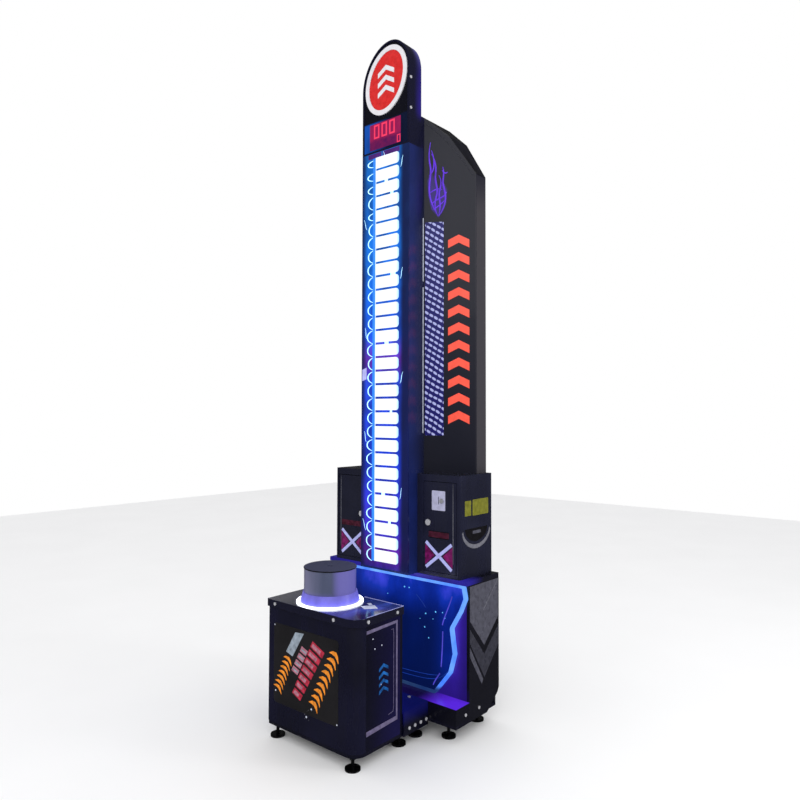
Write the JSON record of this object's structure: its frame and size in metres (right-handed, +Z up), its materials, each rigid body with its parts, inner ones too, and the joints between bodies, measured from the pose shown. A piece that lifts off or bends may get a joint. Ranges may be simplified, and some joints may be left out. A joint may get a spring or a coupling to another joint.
{
  "type": "hammer strength tester machine",
  "caption": "Free-standing coin-operated strength tester: sprung strike pad on a low box, cabinet, lit score tower with arched sign head.",
  "frame": {"origin": "on the floor under the centre of the machine footprint", "axes": "+X to the player's right, +Y away from the player, +Z up"},
  "size_m": [0.7368, 0.68, 2.74],
  "materials": {
    "black_board": "gloss lacquer",
    "dark_sheet": "gloss powder coat",
    "galvanised": "satin",
    "zinc_hardware": "polished",
    "rubber_black": "matt",
    "pad_grey": "matt",
    "boot_clear": "translucent",
    "light_white": "lit diffuser",
    "light_blue": "lit diffuser",
    "panel_blue": "gloss",
    "circuit": "satin",
    "sign_red": "gloss",
    "sign_white": "gloss",
    "sign_black": "gloss",
    "figures": "lit",
    "stainless": "brushed",
    "black_plastic": "satin",
    "brass_bush": "satin"
  },
  "bodies": {
    "machine": {"anvil_back_panel": "black_board", "anvil_front_panel": "black_board", "anvil_left_panel": "black_board", "anvil_lid": "dark_sheet", "anvil_right_panel": "black_board", "anvil_stand": "galvanised", "bridge_cover": "dark_sheet", "cash_box": "galvanised", "cheek_panel": "black_board", "control_board": "circuit", "deck": "black_board", "front_base": "galvanised", "front_feet": "galvanised", "front_panel": "panel_blue", "front_screws": "zinc_hardware", "guide_bush": "brass_bush", "head_shell": "dark_sheet", "impact_buffer": "rubber_black", "led_board": "circuit", "light_bars": "light_blue", "light_ring": "light_white", "light_strip": "light_white", "main_back": "black_board", "main_base": "black_board", "main_feet": "galvanised", "main_side_left": "black_board", "main_side_right": "black_board", "mains_inlet": "black_plastic", "module_body_left": "dark_sheet", "module_body_right": "dark_sheet", "pad_boot": "boot_clear", "plinth_step": "black_board", "power_supply": "galvanised", "return_spring": "stainless", "roof_cap": "dark_sheet", "score_figures": "figures", "side_screws": "zinc_hardware", "sign_disc": "sign_red", "sign_emblem": "sign_white", "sign_plate": "sign_black", "sign_ring": "light_white", "tower_back": "dark_sheet", "tower_channel": "dark_sheet", "tower_front": "sign_black", "wing_left": "dark_sheet", "wing_right": "dark_sheet"},
    "striker": {"strike_pad": "pad_grey", "pad_cap": "rubber_black", "plunger": "stainless"},
    "coin_door_leaf": {"coin_door": "dark_sheet", "coin_plate": "stainless", "coin_mech": "black_plastic"},
    "coin_lock_cam": {"coin_lock": "zinc_hardware"},
    "coin_button": {"reject_button": "stainless"},
    "coin_flap": {"return_flap": "black_plastic"},
    "service_door_leaf": {"service_door": "dark_sheet"},
    "service_lock_cam": {"service_lock": "zinc_hardware"},
    "rear_door_leaf": {"rear_door": "black_board"},
    "rear_lock_cam": {"rear_lock": "zinc_hardware"},
    "mains_rocker": {"power_switch": "black_plastic"}
  },
  "joints": [
    {"name": "pad_stroke", "type": "slide", "parent": "machine", "child": "striker", "axis": [0, 0, -1], "range_m": [0, 0.025], "stiffness_N_per_m": 5000, "springref_m": -0.03, "deforming": ["return_spring"]},
    {"name": "coin_door_hinge", "type": "hinge", "parent": "machine", "child": "coin_door_leaf", "pos_m": [0.31, 0.128, 0.776], "axis": [0, 0, 1], "range_deg": [0, 95]},
    {"name": "coin_lock_turn", "type": "hinge", "parent": "coin_door_leaf", "child": "coin_lock_cam", "pos_m": [0.18, 0.128, 0.782], "axis": [0, -1, 0], "range_deg": [0, 90]},
    {"name": "reject_button_push", "type": "slide", "parent": "coin_door_leaf", "child": "coin_button", "axis": [0, 1, 0], "range_m": [0, 0.003], "stiffness_N_per_m": 300, "springref_m": -0.004},
    {"name": "return_flap_swing", "type": "hinge", "parent": "coin_door_leaf", "child": "coin_flap", "pos_m": [0.232, 0.125, 0.748], "axis": [-1, 0, 0], "range_deg": [0, 60]},
    {"name": "service_door_hinge", "type": "hinge", "parent": "machine", "child": "service_door_leaf", "pos_m": [-0.31, 0.128, 0.776], "axis": [0, 0, -1], "range_deg": [0, 95]},
    {"name": "service_lock_turn", "type": "hinge", "parent": "service_door_leaf", "child": "service_lock_cam", "pos_m": [-0.18, 0.128, 0.782], "axis": [0, 1, 0], "range_deg": [0, 90]},
    {"name": "rear_door_hinge", "type": "hinge", "parent": "machine", "child": "rear_door_leaf", "pos_m": [-0.172, 0.328, 0.295], "axis": [0, 0, 1], "range_deg": [0, 95]},
    {"name": "rear_lock_turn", "type": "hinge", "parent": "rear_door_leaf", "child": "rear_lock_cam", "pos_m": [0.158, 0.328, 0.295], "axis": [0, 1, 0], "range_deg": [0, 90]},
    {"name": "mains_rocker_tilt", "type": "hinge", "parent": "machine", "child": "mains_rocker", "pos_m": [0.27, 0.328, 0.178], "axis": [1, 0, 0], "range_deg": [0, 14]}
  ]
}
